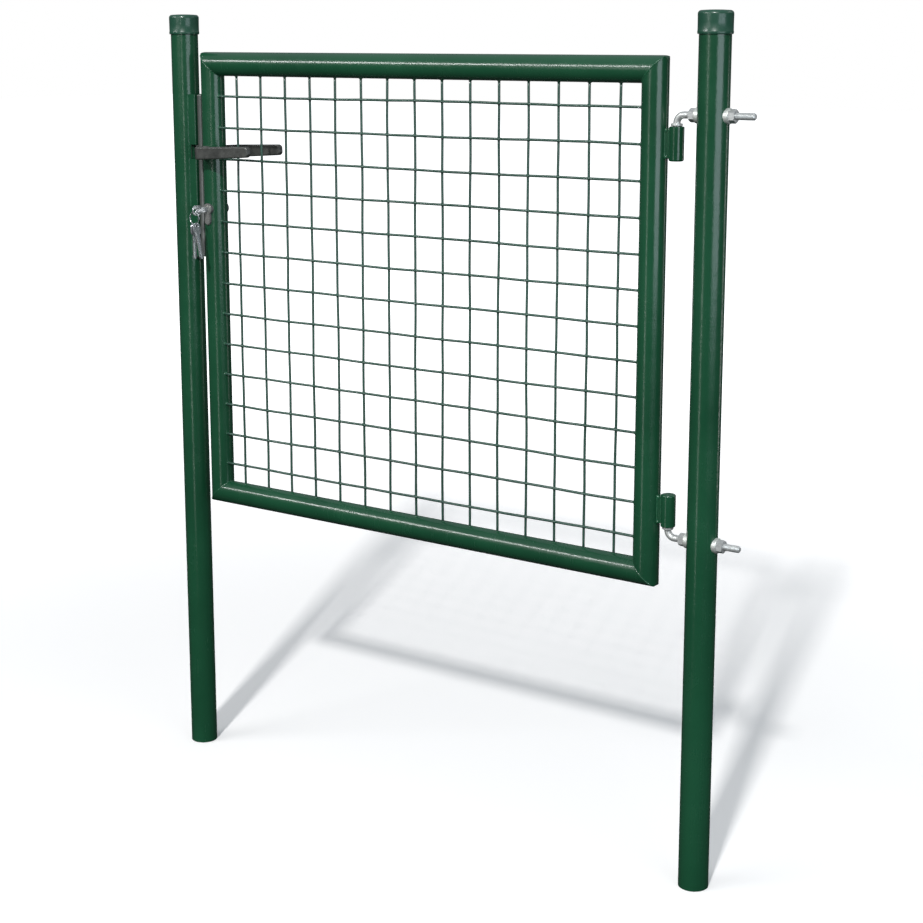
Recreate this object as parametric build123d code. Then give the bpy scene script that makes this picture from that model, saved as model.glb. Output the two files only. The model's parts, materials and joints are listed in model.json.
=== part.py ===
from build123d import *
import os
import math

# ---------------------------------------------------------------------------
# Mesh garden gate: two round posts, a tube-framed leaf with welded wire mesh,
# adjustable J-bolt hinges and a narrow-stile lock with lever handles.
# Millimetres. X runs along the gate from the latch post to the hinge post,
# -Y is the front (the side the leaf opens towards), +Z is up.
# The origin is the centre of the latch post's open foot.
# ---------------------------------------------------------------------------

# posts
POST_R = 22.0            # outer radius, 44 mm tube
POST_WALL = 2.0
POST_SPAN = 966.0        # axis to axis
TOTAL_H = 1250.0         # ground line to cap top
CAP_R = 24.25
CAP_H = 32.0
CAP_TOP = 2.0            # thickness of the cap's roof
POST_H = TOTAL_H - CAP_TOP

# leaf frame
TUBE_R = 19.0            # 38 mm tube
TUBE_WALL = 1.8
STILE_X0 = 60.0          # latch stile axis
STILE_X1 = 877.0         # hinge stile axis
RAIL_Z1 = 1171.0         # top rail axis
RAIL_Z0 = 459.0          # bottom rail axis
CORNER_R = 5.5           # outer corners of the leaf

# welded mesh
WIRE_R = 2.0
PITCH = 50.8
N_VERT = 15
N_HORZ = 13
VERT_Y = -1.5
HORZ_Y = VERT_Y - 2 * WIRE_R - 0.03
VERT_X0 = (STILE_X0 + STILE_X1) / 2 - PITCH * (N_VERT - 1) / 2
HORZ_Z0 = (RAIL_Z0 + RAIL_Z1) / 2 - PITCH * (N_HORZ - 1) / 2

# hinges
BARREL_X = 911.3
BARREL_R = 10.5
BARREL_LEN = 47.0
BARREL_DEPTH = 42.0
BARREL_BORE = 5.05
UP_BARREL_Z = (1047.5, 1047.5 + BARREL_LEN)
LO_BARREL_Z = (532.05, 532.05 + BARREL_LEN)
BOLT_R = 5.0             # M10 J-bolt
BEND_R = 11.0
COLLAR_R = 8.0
COLLAR_T = 4.0
UP_GAP = 0.5             # play above the upper barrel
LO_GAP = 0.05            # the leaf rests on the lower collar
UP_LEG_Z = UP_BARREL_Z[1] + UP_GAP + COLLAR_T + BEND_R + 0.5
LO_LEG_Z = LO_BARREL_Z[0] - LO_GAP - COLLAR_T - BEND_R - 0.5
UP_STUB_X = 1028.6
LO_STUB_X = 1024.6
NUT_AF = 17.0
NUT_T = 8.4
WASHER_R = 11.0
WASHER_T = 4.0

# lock
LEVER_Z = 1029.0
LEVER_TILT = 3.0         # the grips stand a little above level at rest
CYL_Z = LEVER_Z - 92.0   # lever axis to cylinder axis, 92 mm
FACE_X = 34.5            # outer face of the faceplate
FACE_T = 2.5
FACE_HALF = 12.0         # faceplate is 24 mm wide
FACE_Z = (857.0, 1122.0)
CASE_X = (37.0, 74.0)
CASE_HALF = 9.0
CASE_T = 1.5
CASE_Z = (872.0, 1107.0)
LATCH_THROW = 10.0
BOLT_THROW = 11.0
LATCH_HALF_Z = 11.0
BOLT_Z = (958.0, 992.0)
SPINDLE = 8.0
LEVER_END_X = 170.0
LEVER_Y = (34.0, 44.0)   # back and front face of the grip, from the gate's plane
ROSE_R = 11.0
ROSE_Y = 24.0
PROFILE_R = 8.5          # euro profile: 17 mm head, 10 mm tail, 33 mm high
PROFILE_TAIL = 5.0
PROFILE_H = 33.0
CYL_HALF = 21.6
PLUG_R = 6.45

# strike
STRIKE_HALF = 14.0
STRIKE_X = 31.5
STRIKE_T = 2.5

# keys
KEY_T = 2.2
KEY_BLADE = 8.0
KEY_NECK_LEN = 39.0
BOW_LEN = 20.0
BOW_W = 16.5
BOW_R = 6.8              # corner radius of the bow
HOLE_U = 16.0            # hole centre from the bow's inner end
BOW_Y0 = -35.5           # where the bow of the key in the lock starts
HOLE_R = 3.0
RING_R = 10.1
RING_WIRE = 0.9
HOLE_Y = BOW_Y0 - HOLE_U


def box(x0, x1, y0, y1, z0, z1):
    return Pos((x0 + x1) / 2, (y0 + y1) / 2, (z0 + z1) / 2) * Box(x1 - x0, y1 - y0, z1 - z0)


def cyl_x(r, x0, x1, y, z):
    return Pos((x0 + x1) / 2, y, z) * Rot(0, 90, 0) * Cylinder(r, x1 - x0)


def cyl_y(r, y0, y1, x, z):
    return Pos(x, (y0 + y1) / 2, z) * Rot(90, 0, 0) * Cylinder(r, y1 - y0)


def cyl_z(r, z0, z1, x, y):
    return Pos(x, y, (z0 + z1) / 2) * Cylinder(r, z1 - z0)


def prism_xz(pts, y0, y1):
    """A polygon in the X-Z plane, extruded from y0 to y1."""
    face = make_face(Polyline([(x, y0, z) for x, z in pts] + [(pts[0][0], y0, pts[0][1])]))
    return extrude(face, amount=y1 - y0, dir=(0, 1, 0))


def prism_xy(pts, z0, z1):
    face = make_face(Polyline([(x, y, z0) for x, y in pts] + [(pts[0][0], pts[0][1], z0)]))
    return extrude(face, amount=z1 - z0, dir=(0, 0, 1))


def one(shape):
    """The single largest solid of a shape."""
    ss = sorted(shape.solids(), key=lambda s: -s.volume)
    return ss[0]


nodes = {}


def add(name, *shapes):
    ss = []
    for s in shapes:
        ss += list(s.solids())
    nodes[name] = ss


# ------------------------------------------------------------------ posts
def post(x):
    return cyl_z(POST_R, 0, POST_H, x, 0) - cyl_z(POST_R - POST_WALL, -1, POST_H + 1, x, 0)


def cap(x):
    body = cyl_z(CAP_R, TOTAL_H - CAP_H, TOTAL_H, x, 0)
    top = body.edges().filter_by(GeomType.CIRCLE).sort_by(Axis.Z)[-1:]
    body = fillet(top, 4.5)
    low = body.edges().filter_by(GeomType.CIRCLE).sort_by(Axis.Z)[:1]
    body = chamfer(low, 0.6)
    return body - cyl_z(POST_R + 0.05, TOTAL_H - CAP_H - 1, POST_H, x, 0)


add("latch_post", post(0))
hinge_post = post(POST_SPAN)
for z in (UP_LEG_Z, LO_LEG_Z):
    hinge_post = hinge_post - cyl_x(BOLT_R + 0.5, POST_SPAN - 40, POST_SPAN + 40, 0, z)
add("hinge_post", hinge_post)
add("latch_post_cap", cap(0))
add("hinge_post_cap", cap(POST_SPAN))

# ------------------------------------------------------------------ strike on the latch post
strike = box(8, STRIKE_X, -STRIKE_HALF, STRIKE_HALF, *FACE_Z)
strike = fillet(
    strike.edges().filter_by(Axis.Z).group_by(Axis.X)[-1], 2.0
)
strike = strike - box(0, STRIKE_X - STRIKE_T, -STRIKE_HALF + STRIKE_T, STRIKE_HALF - STRIKE_T, FACE_Z[0] - 1, FACE_Z[1] + 1)
strike = strike + box(24, 42, 12.5, 15.0, 1076, 1104)          # stop behind the closed faceplate
strike = strike - cyl_z(POST_R + 0.01, FACE_Z[0] - 1, FACE_Z[1] + 1, 0, 0)
# latch pocket, open to the front so that the leaf swings with the latch out
strike = strike - box(20.5, STRIKE_X + 1, -STRIKE_HALF - 1, 7.0, LEVER_Z - 11.9, LEVER_Z + 11.9)
# dead bolt hole
strike = strike - box(20.5, STRIKE_X + 1, -7.5, 7.5, BOLT_Z[0] - 2, BOLT_Z[1] + 2)
add("strike_channel", strike)

# ------------------------------------------------------------------ leaf frame
def tube_z(x, z0, z1):
    return cyl_z(TUBE_R, z0, z1, x, 0) - cyl_z(TUBE_R - TUBE_WALL, z0 - 1, z1 + 1, x, 0)


def tube_x(z, x0, x1):
    return cyl_x(TUBE_R, x0, x1, 0, z) - cyl_x(TUBE_R - TUBE_WALL, x0 - 1, x1 + 1, 0, z)


M = 30.0
top_clip = prism_xz([(STILE_X0 - M, RAIL_Z1 + M), (STILE_X1 + M, RAIL_Z1 + M), (STILE_X1 - M, RAIL_Z1 - M), (STILE_X0 + M, RAIL_Z1 - M)], -M, M)
bot_clip = prism_xz([(STILE_X0 - M, RAIL_Z0 - M), (STILE_X1 + M, RAIL_Z0 - M), (STILE_X1 - M, RAIL_Z0 + M), (STILE_X0 + M, RAIL_Z0 + M)], -M, M)
left_clip = prism_xz([(STILE_X0 - M, RAIL_Z1 + M), (STILE_X0 + M, RAIL_Z1 - M), (STILE_X0 + M, RAIL_Z0 + M), (STILE_X0 - M, RAIL_Z0 - M)], -M, M)
right_clip = prism_xz([(STILE_X1 + M, RAIL_Z1 + M), (STILE_X1 - M, RAIL_Z1 - M), (STILE_X1 - M, RAIL_Z0 + M), (STILE_X1 + M, RAIL_Z0 - M)], -M, M)

# the welds at the leaf's outer corners are ground round
corner_clip = box(STILE_X0 - TUBE_R, STILE_X1 + TUBE_R, -M, M, RAIL_Z0 - TUBE_R, RAIL_Z1 + TUBE_R)
corner_clip = fillet(corner_clip.edges().filter_by(Axis.Y), CORNER_R)
add("top_rail", tube_x(RAIL_Z1, STILE_X0 - 25, STILE_X1 + 25) & top_clip & corner_clip)
add("bottom_rail", tube_x(RAIL_Z0, STILE_X0 - 25, STILE_X1 + 25) & bot_clip & corner_clip)
add("hinge_stile", tube_z(STILE_X1, RAIL_Z0 - 25, RAIL_Z1 + 25) & right_clip & corner_clip)


def euro(grow, y0, y1):
    """The cylinder's profile, grown by a clearance."""
    r, t = PROFILE_R + grow, PROFILE_TAIL + grow
    zc = CYL_Z + PROFILE_R - PROFILE_H + PROFILE_TAIL
    return cyl_y(r, y0, y1, STILE_X0, CYL_Z) + box(STILE_X0 - t, STILE_X0 + t, y0, y1, zc, CYL_Z) + cyl_y(t, y0, y1, STILE_X0, zc)


TAIL_Z = CYL_Z + PROFILE_R - PROFILE_H + PROFILE_TAIL
stile = tube_z(STILE_X0, RAIL_Z0 - 25, RAIL_Z1 + 25) & left_clip & corner_clip
stile = stile - box(STILE_X0 - 25, STILE_X0 - 8, -CASE_HALF - 0.4, CASE_HALF + 0.4, CASE_Z[0] - 3, CASE_Z[1] + 3)
stile = stile - cyl_y(7.0, -25, 25, STILE_X0, LEVER_Z)
stile = stile - euro(0.4, -25, 25)
SCREW_Z = (FACE_Z[0] + 6.0, FACE_Z[1] - 6.0)
for z in SCREW_Z:
    stile = stile - cyl_x(2.5, STILE_X0 - 25, STILE_X0 - 5, 0, z)
add("latch_stile", stile)

# ------------------------------------------------------------------ mesh
frame_x0 = cyl_z(TUBE_R + 0.01, RAIL_Z0 - 30, RAIL_Z1 + 30, STILE_X0, 0)
frame_x1 = cyl_z(TUBE_R + 0.01, RAIL_Z0 - 30, RAIL_Z1 + 30, STILE_X1, 0)
frame_z0 = cyl_x(TUBE_R + 0.01, STILE_X0 - 30, STILE_X1 + 30, 0, RAIL_Z0)
frame_z1 = cyl_x(TUBE_R + 0.01, STILE_X0 - 30, STILE_X1 + 30, 0, RAIL_Z1)
verts = []
for i in range(N_VERT):
    w = cyl_z(WIRE_R, RAIL_Z0 + 15, RAIL_Z1 - 15, VERT_X0 + PITCH * i, VERT_Y)
    verts.append(one(w - frame_z0 - frame_z1))
horzs = []
for j in range(N_HORZ):
    w = cyl_x(WIRE_R, STILE_X0 + 14, STILE_X1 - 14, HORZ_Y, HORZ_Z0 + PITCH * j)
    horzs.append(one(w - frame_x0 - frame_x1))
add("vertical_wires", *verts)
add("horizontal_wires", *horzs)

# ------------------------------------------------------------------ hinges
def barrel(zr, open_up):
    z0, z1 = zr
    b = cyl_z(BARREL_R, z0, z1, BARREL_X, 0)
    ring = b.edges().filter_by(GeomType.CIRCLE).sort_by(Axis.Z)
    b = fillet(ring[:1] if open_up else ring[-1:], 2.5)
    ring = b.edges().filter_by(GeomType.CIRCLE).sort_by(Axis.Z)
    b = chamfer(ring[-1:] if open_up else ring[:1], 0.8)
    web = box(STILE_X1 + 14, BARREL_X - 4, -4.5, 4.5, z0 + 4, z1 - 4) - cyl_z(TUBE_R + 0.01, z0 - 5, z1 + 5, STILE_X1, 0)
    b = b + web
    if open_up:
        return b - cyl_z(BARREL_BORE, z1 - BARREL_DEPTH, z1 + 5, BARREL_X, 0)
    return b - cyl_z(BARREL_BORE, z0 - 5, z0 + BARREL_DEPTH, BARREL_X, 0)


add("upper_hinge_barrel", barrel(UP_BARREL_Z, True))
add("lower_hinge_barrel", barrel(LO_BARREL_Z, False))


def jbolt(leg_z, pin_end_z, stub_x):
    """Rod bent through a right angle: a pin on the hinge axis, a threaded leg through the post."""
    s = 1 if pin_end_z < leg_z else -1
    p0 = (BARREL_X, 0, pin_end_z)
    p1 = (BARREL_X, 0, leg_z - s * BEND_R)
    p2 = (BARREL_X + BEND_R, 0, leg_z)
    p3 = (stub_x, 0, leg_z)
    c = BEND_R * (1 - math.sqrt(0.5))
    mid = (BARREL_X + c, 0, leg_z - s * c)
    path = Wire([Line(p0, p1).edge(), ThreePointArc(p1, mid, p2).edge(), Line(p2, p3).edge()])
    rod = sweep(Plane(origin=p0, z_dir=(0, 0, s)) * Circle(BOLT_R), path=path)
    ends = rod.edges().filter_by(GeomType.CIRCLE)
    ends = [e for e in ends if abs(e.center().Z - pin_end_z) < 0.01 or abs(e.center().X - stub_x) < 0.01]
    return chamfer(ends, 1.0)


UP_PIN_Z = UP_BARREL_Z[1] - BARREL_DEPTH + 3
LO_PIN_Z = LO_BARREL_Z[0] + BARREL_DEPTH - 3
add("upper_hinge_bolt", jbolt(UP_LEG_Z, UP_PIN_Z, UP_STUB_X))
add("lower_hinge_bolt", jbolt(LO_LEG_Z, LO_PIN_Z, LO_STUB_X))


def collar(z0):
    c = cyl_z(COLLAR_R, z0, z0 + COLLAR_T, BARREL_X, 0)
    c = fillet(c.edges().filter_by(GeomType.CIRCLE), 1.2)
    return c - cyl_z(BOLT_R + 0.03, z0 - 1, z0 + COLLAR_T + 1, BARREL_X, 0)


add("hinge_collars", collar(UP_BARREL_Z[1] + UP_GAP), collar(LO_BARREL_Z[0] - LO_GAP - COLLAR_T))


def nut(x0, z):
    """Hexagon nut on a leg along X, corners chamfered."""
    h = extrude(Plane(origin=(x0, 0, z), x_dir=(0, 0, 1), z_dir=(1, 0, 0)) * RegularPolygon(NUT_AF / 2, 6, major_radius=False), amount=NUT_T)
    rc = NUT_AF / math.sqrt(3)
    barrel_ = cyl_x(rc, x0, x0 + NUT_T, 0, z)
    barrel_ = chamfer(barrel_.edges().filter_by(GeomType.CIRCLE), 0.7, 1.3)
    return (h & barrel_) - cyl_x(BOLT_R + 0.03, x0 - 1, x0 + NUT_T + 1, 0, z)


def saddle(side, z):
    """Washer with one face hollowed to sit on the round post."""
    x_out = POST_SPAN + side * (POST_R + WASHER_T)
    x_in = POST_SPAN + side * (POST_R - 5)
    w = cyl_x(WASHER_R, min(x_out, x_in), max(x_out, x_in), 0, z)
    rim = w.edges().filter_by(GeomType.CIRCLE).sort_by(Axis.X)
    w = fillet(rim[-1:] if side > 0 else rim[:1], 1.5)
    w = w - cyl_z(POST_R + 0.02, z - 20, z + 20, POST_SPAN, 0)
    return one(w - cyl_x(BOLT_R + 0.5, POST_SPAN - 40, POST_SPAN + 40, 0, z))


x_in_nut = POST_SPAN - POST_R - WASHER_T - NUT_T - 0.02
x_out_nut = POST_SPAN + POST_R + WASHER_T + 0.02
add("hinge_nuts", *[nut(x, z) for z in (UP_LEG_Z, LO_LEG_Z) for x in (x_in_nut, x_out_nut)])
add("hinge_saddle_washers", *[saddle(s, z) for z in (UP_LEG_Z, LO_LEG_Z) for s in (-1, 1)])

# ------------------------------------------------------------------ lock: faceplate and case
LZ0, LZ1 = LEVER_Z - LATCH_HALF_Z, LEVER_Z + LATCH_HALF_Z
face = box(FACE_X, 43.6, -FACE_HALF, FACE_HALF, *FACE_Z)
face = fillet(face.edges().filter_by(Axis.Z).group_by(Axis.X)[0], 1.5)
face = fillet(face.edges().filter_by(Axis.Y).group_by(Axis.X)[0], 2.0)
face = face - box(FACE_X + FACE_T, 50, -FACE_HALF + 2, FACE_HALF - 2, FACE_Z[0] - 1, FACE_Z[1] + 1)
face = face - box(FACE_X - 1, FACE_X + 5, -6.2, 6.2, LZ0 - 0.2, LZ1 + 0.2)
face = face - box(FACE_X - 1, FACE_X + 5, -6.2, 6.2, BOLT_Z[0] - 0.2, BOLT_Z[1] + 0.2)


def csk(x0, z, length, grow):
    """Countersunk M5 screw along +X with its head flush at x0."""
    head = Pos(x0 + 1.25, 0, z) * Rot(0, 90, 0) * Cone(4.9 + grow, 2.4 + grow, 2.5)
    return head + cyl_x(2.45 + grow, x0, x0 + length, 0, z)


for z in (*SCREW_Z, TAIL_Z):
    face = face - csk(FACE_X, z, 12, 0.04)
add("lock_faceplate", face)


def screw(z, length):
    s = csk(FACE_X, z, length, 0)
    return s - box(FACE_X - 1, FACE_X + 1.2, -3.6, 3.6, z - 0.5, z + 0.5) - box(FACE_X - 1, FACE_X + 1.2, -0.5, 0.5, z - 3.6, z + 3.6)


add("faceplate_screws", *[screw(z, 15.0) for z in SCREW_Z])
add("cylinder_screw", screw(TAIL_Z, 29.0))

X0, X1 = CASE_X
case = box(X0, X1, -CASE_HALF + CASE_T, CASE_HALF, *CASE_Z)
case = case - box(X0 + CASE_T, X1 - CASE_T, -CASE_HALF, CASE_HALF - CASE_T, CASE_Z[0] + CASE_T, CASE_Z[1] - CASE_T)
cover = box(X0, X1, -CASE_HALF, -CASE_HALF + CASE_T, *CASE_Z)
cuts = [
    box(X0 - 1, X0 + CASE_T + 0.5, -6.3, 6.3, LZ0 - 0.3, LZ1 + 0.3),
    box(X0 - 1, X0 + CASE_T + 0.5, -6.3, 6.3, BOLT_Z[0] - 0.3, BOLT_Z[1] + 0.3),
    cyl_x(2.7, X0 - 1, X0 + CASE_T + 0.5, 0, TAIL_Z),
    cyl_y(7.06, -12, 12, STILE_X0, LEVER_Z),
    euro(0.15, -12, 12),
]
RIVETS = [(43.5, 880.0), (67.5, 880.0), (43.5, 1099.0), (67.5, 1099.0)]
for x, z in RIVETS:
    cuts.append(cyl_y(2.0, -12, 12, x, z))
for c in cuts:
    case = case - c
    cover = cover - c
add("lock_case", case)
add("lock_case_cover", cover)
add("case_rivets", *[cyl_y(1.97, -CASE_HALF, CASE_HALF, x, z) for x, z in RIVETS])

# ------------------------------------------------------------------ lock: follower, spindle, levers
inner = CASE_HALF - CASE_T - 0.1
follower = cyl_y(9.0, -inner, inner, STILE_X0, LEVER_Z) + cyl_y(7.0, -CASE_HALF, CASE_HALF, STILE_X0, LEVER_Z)
ARM_R, ARM_TIP, ARM_DEG = 13.5, 2.5, 20.0
arm = prism_xz([(-3.5, 0), (3.5, 0), (3.0, 7.0), (1.4, 9.5), (1.4, ARM_R), (-1.4, ARM_R), (-1.4, 9.5), (-3.0, 7.0)], -3.0, 3.0)
arm = arm + cyl_y(ARM_TIP, -3.0, 3.0, 0, ARM_R)
arm = Pos(STILE_X0, 0, LEVER_Z) * Rot(0, -ARM_DEG, 0) * arm
follower = follower + arm
TILT = Pos(STILE_X0, 0, LEVER_Z) * Rot(0, -LEVER_TILT, 0) * Pos(-STILE_X0, 0, -LEVER_Z)
follower = follower - TILT * box(STILE_X0 - SPINDLE / 2 - 0.05, STILE_X0 + SPINDLE / 2 + 0.05, -12, 12, LEVER_Z - SPINDLE / 2 - 0.05, LEVER_Z + SPINDLE / 2 + 0.05)
add("follower", follower)
add("spindle", TILT * box(STILE_X0 - SPINDLE / 2, STILE_X0 + SPINDLE / 2, -36, 36, LEVER_Z - SPINDLE / 2, LEVER_Z + SPINDLE / 2))


def lever(s):
    """Bent lever; s = -1 for the front one, +1 for the rear one."""
    b, f = LEVER_Y
    plan = (
        Polyline([(51.5, 27.0), (51.5, f), (LEVER_END_X, f), (LEVER_END_X, b), (68.5, b), (68.5, 27.0), (51.5, 27.0)])
    )
    plan = make_face(plan)
    v = plan.vertices()
    outer = [p for p in v if abs(p.X - 51.5) < 0.01 and abs(p.Y - f) < 0.01]
    innr = [p for p in v if abs(p.X - 68.5) < 0.01 and abs(p.Y - b) < 0.01]
    tip = [p for p in v if abs(p.X - LEVER_END_X) < 0.01]
    plan = fillet(outer, 11.0)
    plan = fillet([p for p in plan.vertices() if abs(p.X - 68.5) < 0.01 and abs(p.Y - b) < 0.01], 5.0)
    plan = fillet([p for p in plan.vertices() if abs(p.X - LEVER_END_X) < 0.01], 3.0)
    body = Pos(0, 0, LEVER_Z - 15) * extrude(plan, amount=30, dir=(0, 0, 1))
    side = make_face(Polyline([(48.0, 0, -10.2), (48.0, 0, 10.2), (80.0, 0, 10.2), (LEVER_END_X, 0, 8.6), (LEVER_END_X, 0, -8.6), (80.0, 0, -10.2), (48.0, 0, -10.2)]))
    side = fillet([p for p in side.vertices() if abs(p.X - LEVER_END_X) < 0.01], 6.5)
    side = Pos(0, 0, LEVER_Z) * extrude(side, amount=60, dir=(0, 1, 0))
    body = one(body & side)
    long_edges = [e for e in body.edges() if e.length > 3 and e.center().Y > 28.5]
    for r in (2.6, 2.0, 1.4):
        try:
            body = one(fillet(long_edges, r))
            break
        except Exception:
            continue
    neck = cyl_y(8.5, ROSE_Y + 0.3, 31.0, STILE_X0, LEVER_Z)
    body = body + neck
    body = body - box(STILE_X0 - SPINDLE / 2 - 0.05, STILE_X0 + SPINDLE / 2 + 0.05, 20, 36.3, LEVER_Z - SPINDLE / 2 - 0.05, LEVER_Z + SPINDLE / 2 + 0.05)
    body = body - cyl_z(2.5, LEVER_Z - 14, LEVER_Z, STILE_X0, 31.0)
    body = one(TILT * body)
    if s < 0:
        body = body.mirror(Plane.XZ)
    return body


add("front_lever", lever(-1))
add("rear_lever", lever(1))
add("lever_grub_screws", *[TILT * cyl_z(2.45, LEVER_Z - 9.6, LEVER_Z - SPINDLE / 2 - 0.02, STILE_X0, y) for y in (-31.0, 31.0)])


def rose(s):
    y0, y1 = (10.0, ROSE_Y)
    r = cyl_y(ROSE_R, y0, y1, STILE_X0, LEVER_Z)
    r = chamfer(r.edges().filter_by(GeomType.CIRCLE).sort_by(Axis.Y)[-1:], 1.2)
    r = r - cyl_z(TUBE_R + 0.02, LEVER_Z - 30, LEVER_Z + 30, STILE_X0, 0)
    r = one(r - cyl_y(6.2, 0, 40, STILE_X0, LEVER_Z))
    return r.mirror(Plane.XZ) if s < 0 else r


add("lever_roses", rose(-1), rose(1))

# ------------------------------------------------------------------ lock: latch and dead bolt
latch = prism_xy([(FACE_X - LATCH_THROW, -6), (FACE_X - LATCH_THROW, -3.5), (FACE_X - 0.5, 6), (40.4, 6), (40.4, -6)], LZ0, LZ1)
latch = latch + box(39.0, 43.0, -3, 3, LEVER_Z + 7.5, LEVER_Z + 23)      # link up to the tail
latch = latch + box(39.0, 62.3, -3, 3, LEVER_Z + 18, LEVER_Z + 23)       # tail over the follower
latch = latch + box(58.3, 62.3, -3, 3, LEVER_Z + 10, LEVER_Z + 18)       # lug the arm pulls
latch = latch + box(40.5, 43.0, -4, 4, LEVER_Z + 23, LEVER_Z + 33)       # spring seat
add("latch_bolt", latch)

SPRING_Z = LEVER_Z + 28.5
coil = Helix(pitch=3.6, height=27.0, radius=3.2)
start = coil @ 0
tan = coil % 0
spring = sweep(Plane(origin=start, z_dir=tan) * Circle(0.5), path=coil)
spring = Pos(44.2, 0, SPRING_Z) * Rot(0, 90, 0) * spring
add("latch_spring", spring)

dead = box(FACE_X, 60.0, -6, 6, *BOLT_Z)
dead = chamfer(dead.edges().group_by(Axis.X)[0], 0.8)
dead = dead + box(50.0, 58.0, -3, 3, BOLT_Z[0] - 6, BOLT_Z[0] + 1)
add("dead_bolt", dead)

# ------------------------------------------------------------------ lock: cylinder
body = euro(0.0, -CYL_HALF, CYL_HALF)
body = body - cyl_y(PLUG_R + 0.05, -CYL_HALF - 1, CYL_HALF + 1, STILE_X0, CYL_Z)
body = body - box(STILE_X0 - 12, STILE_X0 + 12, -5, 5, CYL_Z - 12.4, CYL_Z + 12)
body = body - cyl_x(2.5, STILE_X0 - 12, STILE_X0 + 12, 0, TAIL_Z)
add("cylinder_body", body)


def plug(y0, y1):
    p = cyl_y(PLUG_R, y0, y1, STILE_X0, CYL_Z)
    return p - box(STILE_X0 - KEY_T / 2 - 0.1, STILE_X0 + KEY_T / 2 + 0.1, -60, 60, CYL_Z - KEY_BLADE / 2 - 0.1, CYL_Z + KEY_BLADE / 2 + 0.1)


add("cylinder_plug", one(plug(-CYL_HALF - 0.4, -4.85)))
add("cylinder_rear_plug", one(plug(4.85, CYL_HALF + 0.4)))
cam = cyl_y(6.6, -4.7, 4.7, STILE_X0, CYL_Z) + box(STILE_X0 - 3, STILE_X0 + 3, -4.7, 4.7, CYL_Z - 11.5, CYL_Z)
cam = cam - box(STILE_X0 - KEY_T / 2 - 0.1, STILE_X0 + KEY_T / 2 + 0.1, -10, 3.6, CYL_Z - KEY_BLADE / 2 - 0.1, CYL_Z + KEY_BLADE / 2 + 0.1)
add("cylinder_cam", cam)


def escutcheon(s):
    e = euro(1.3, 8.0, 20.6) - euro(0.15, 5, 30)
    e = e - cyl_z(TUBE_R + 0.02, CYL_Z - 60, CYL_Z + 60, STILE_X0, 0)
    e = one(e)
    return e.mirror(Plane.XZ) if s < 0 else e


add("cylinder_escutcheons", escutcheon(-1), escutcheon(1))

# ------------------------------------------------------------------ keys and ring
def key_flat():
    """Key in its own plane: blade along +U from the neck, bow along -U, hole near the bow's end.

    U = 0 is where the bow meets the neck. Returned as a face in the X-Y plane, X = U.
    """
    bow = Pos(-BOW_LEN / 2, 0) * RectangleRounded(BOW_LEN, BOW_W, BOW_R)
    blade = make_face(Polyline([(-3, -KEY_BLADE / 2, 0), (-3, KEY_BLADE / 2, 0), (KEY_NECK_LEN - 3, KEY_BLADE / 2, 0), (KEY_NECK_LEN, 0.8, 0), (KEY_NECK_LEN, -0.8, 0), (KEY_NECK_LEN - 3, -KEY_BLADE / 2, 0), (-3, -KEY_BLADE / 2, 0)]))
    cuts = []
    for u, d in ((14.5, 1.0), (18.5, 2.0), (22.5, 1.2), (26.5, 2.4), (30.5, 1.6)):
        cuts.append(make_face(Polyline([(u - 2.0, KEY_BLADE / 2 + 1, 0), (u - 0.4, KEY_BLADE / 2 - d, 0), (u + 0.4, KEY_BLADE / 2 - d, 0), (u + 2.0, KEY_BLADE / 2 + 1, 0), (u - 2.0, KEY_BLADE / 2 + 1, 0)])))
    f = bow + blade
    for c in cuts:
        f = f - c
    return f - Pos(-HOLE_U, 0) * Circle(HOLE_R)


flat = extrude(key_flat(), amount=KEY_T / 2, both=True)
# in the lock: U along +Y, plate normal along X
key_in = Pos(STILE_X0, BOW_Y0, CYL_Z) * Rot(0, 90, 0) * Rot(0, 0, 90) * flat
add("key_in_lock", one(key_in))

RING_TOP = CYL_Z - HOLE_R + RING_WIRE + 0.15
RING_Z = RING_TOP - RING_R
add("key_ring", Pos(STILE_X0, HOLE_Y, RING_Z) * Rot(90, 0, 0) * Torus(RING_R, RING_WIRE))


def hanging(ring_deg, lean_deg):
    """A key hung on the ring: the wire rests in the top of its hole."""
    a = math.radians(ring_deg)
    wx, wz = STILE_X0 + RING_R * math.sin(a), RING_Z - RING_R * math.cos(a)
    k = Rot(0, 90, 0) * flat                      # U along -Z, plate normal along X
    # hole centre is at z = +HOLE_U; the wire sits at the top of the hole
    k = Pos(0, 0, -HOLE_U - (HOLE_R - RING_WIRE - 0.25)) * k
    return Pos(wx, HOLE_Y, wz) * Rot(0, -lean_deg, 0) * k, (wx, HOLE_Y, wz)


ka, pa = hanging(-4.0, 0.0)
kb, pb = hanging(17.0, 11.0)
add("spare_key_a", one(ka))
add("spare_key_b", one(kb))

# ------------------------------------------------------------------ write
if __name__ == "__main__":
    os.makedirs("parts", exist_ok=True)
    for name, ss in nodes.items():
        shape = ss[0] if len(ss) == 1 else Compound(ss)
        export_step(shape, os.path.join("parts", name + ".step"))
        bb = shape.bounding_box()
        print(f"{name:24s} solids {len(ss):2d}  X {bb.min.X:8.2f} {bb.max.X:8.2f}  Y {bb.min.Y:7.2f} {bb.max.Y:7.2f}  Z {bb.min.Z:8.2f} {bb.max.Z:8.2f}")
    print("legs z", UP_LEG_Z, LO_LEG_Z, "pins", UP_PIN_Z, LO_PIN_Z)
    print("ring pivot z", RING_TOP, "hole y", HOLE_Y, "key pivots", pa, pb)
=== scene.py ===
import json
import math
import random

import bmesh
import bpy
import numpy as np
from mathutils import Matrix, Vector

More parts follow.
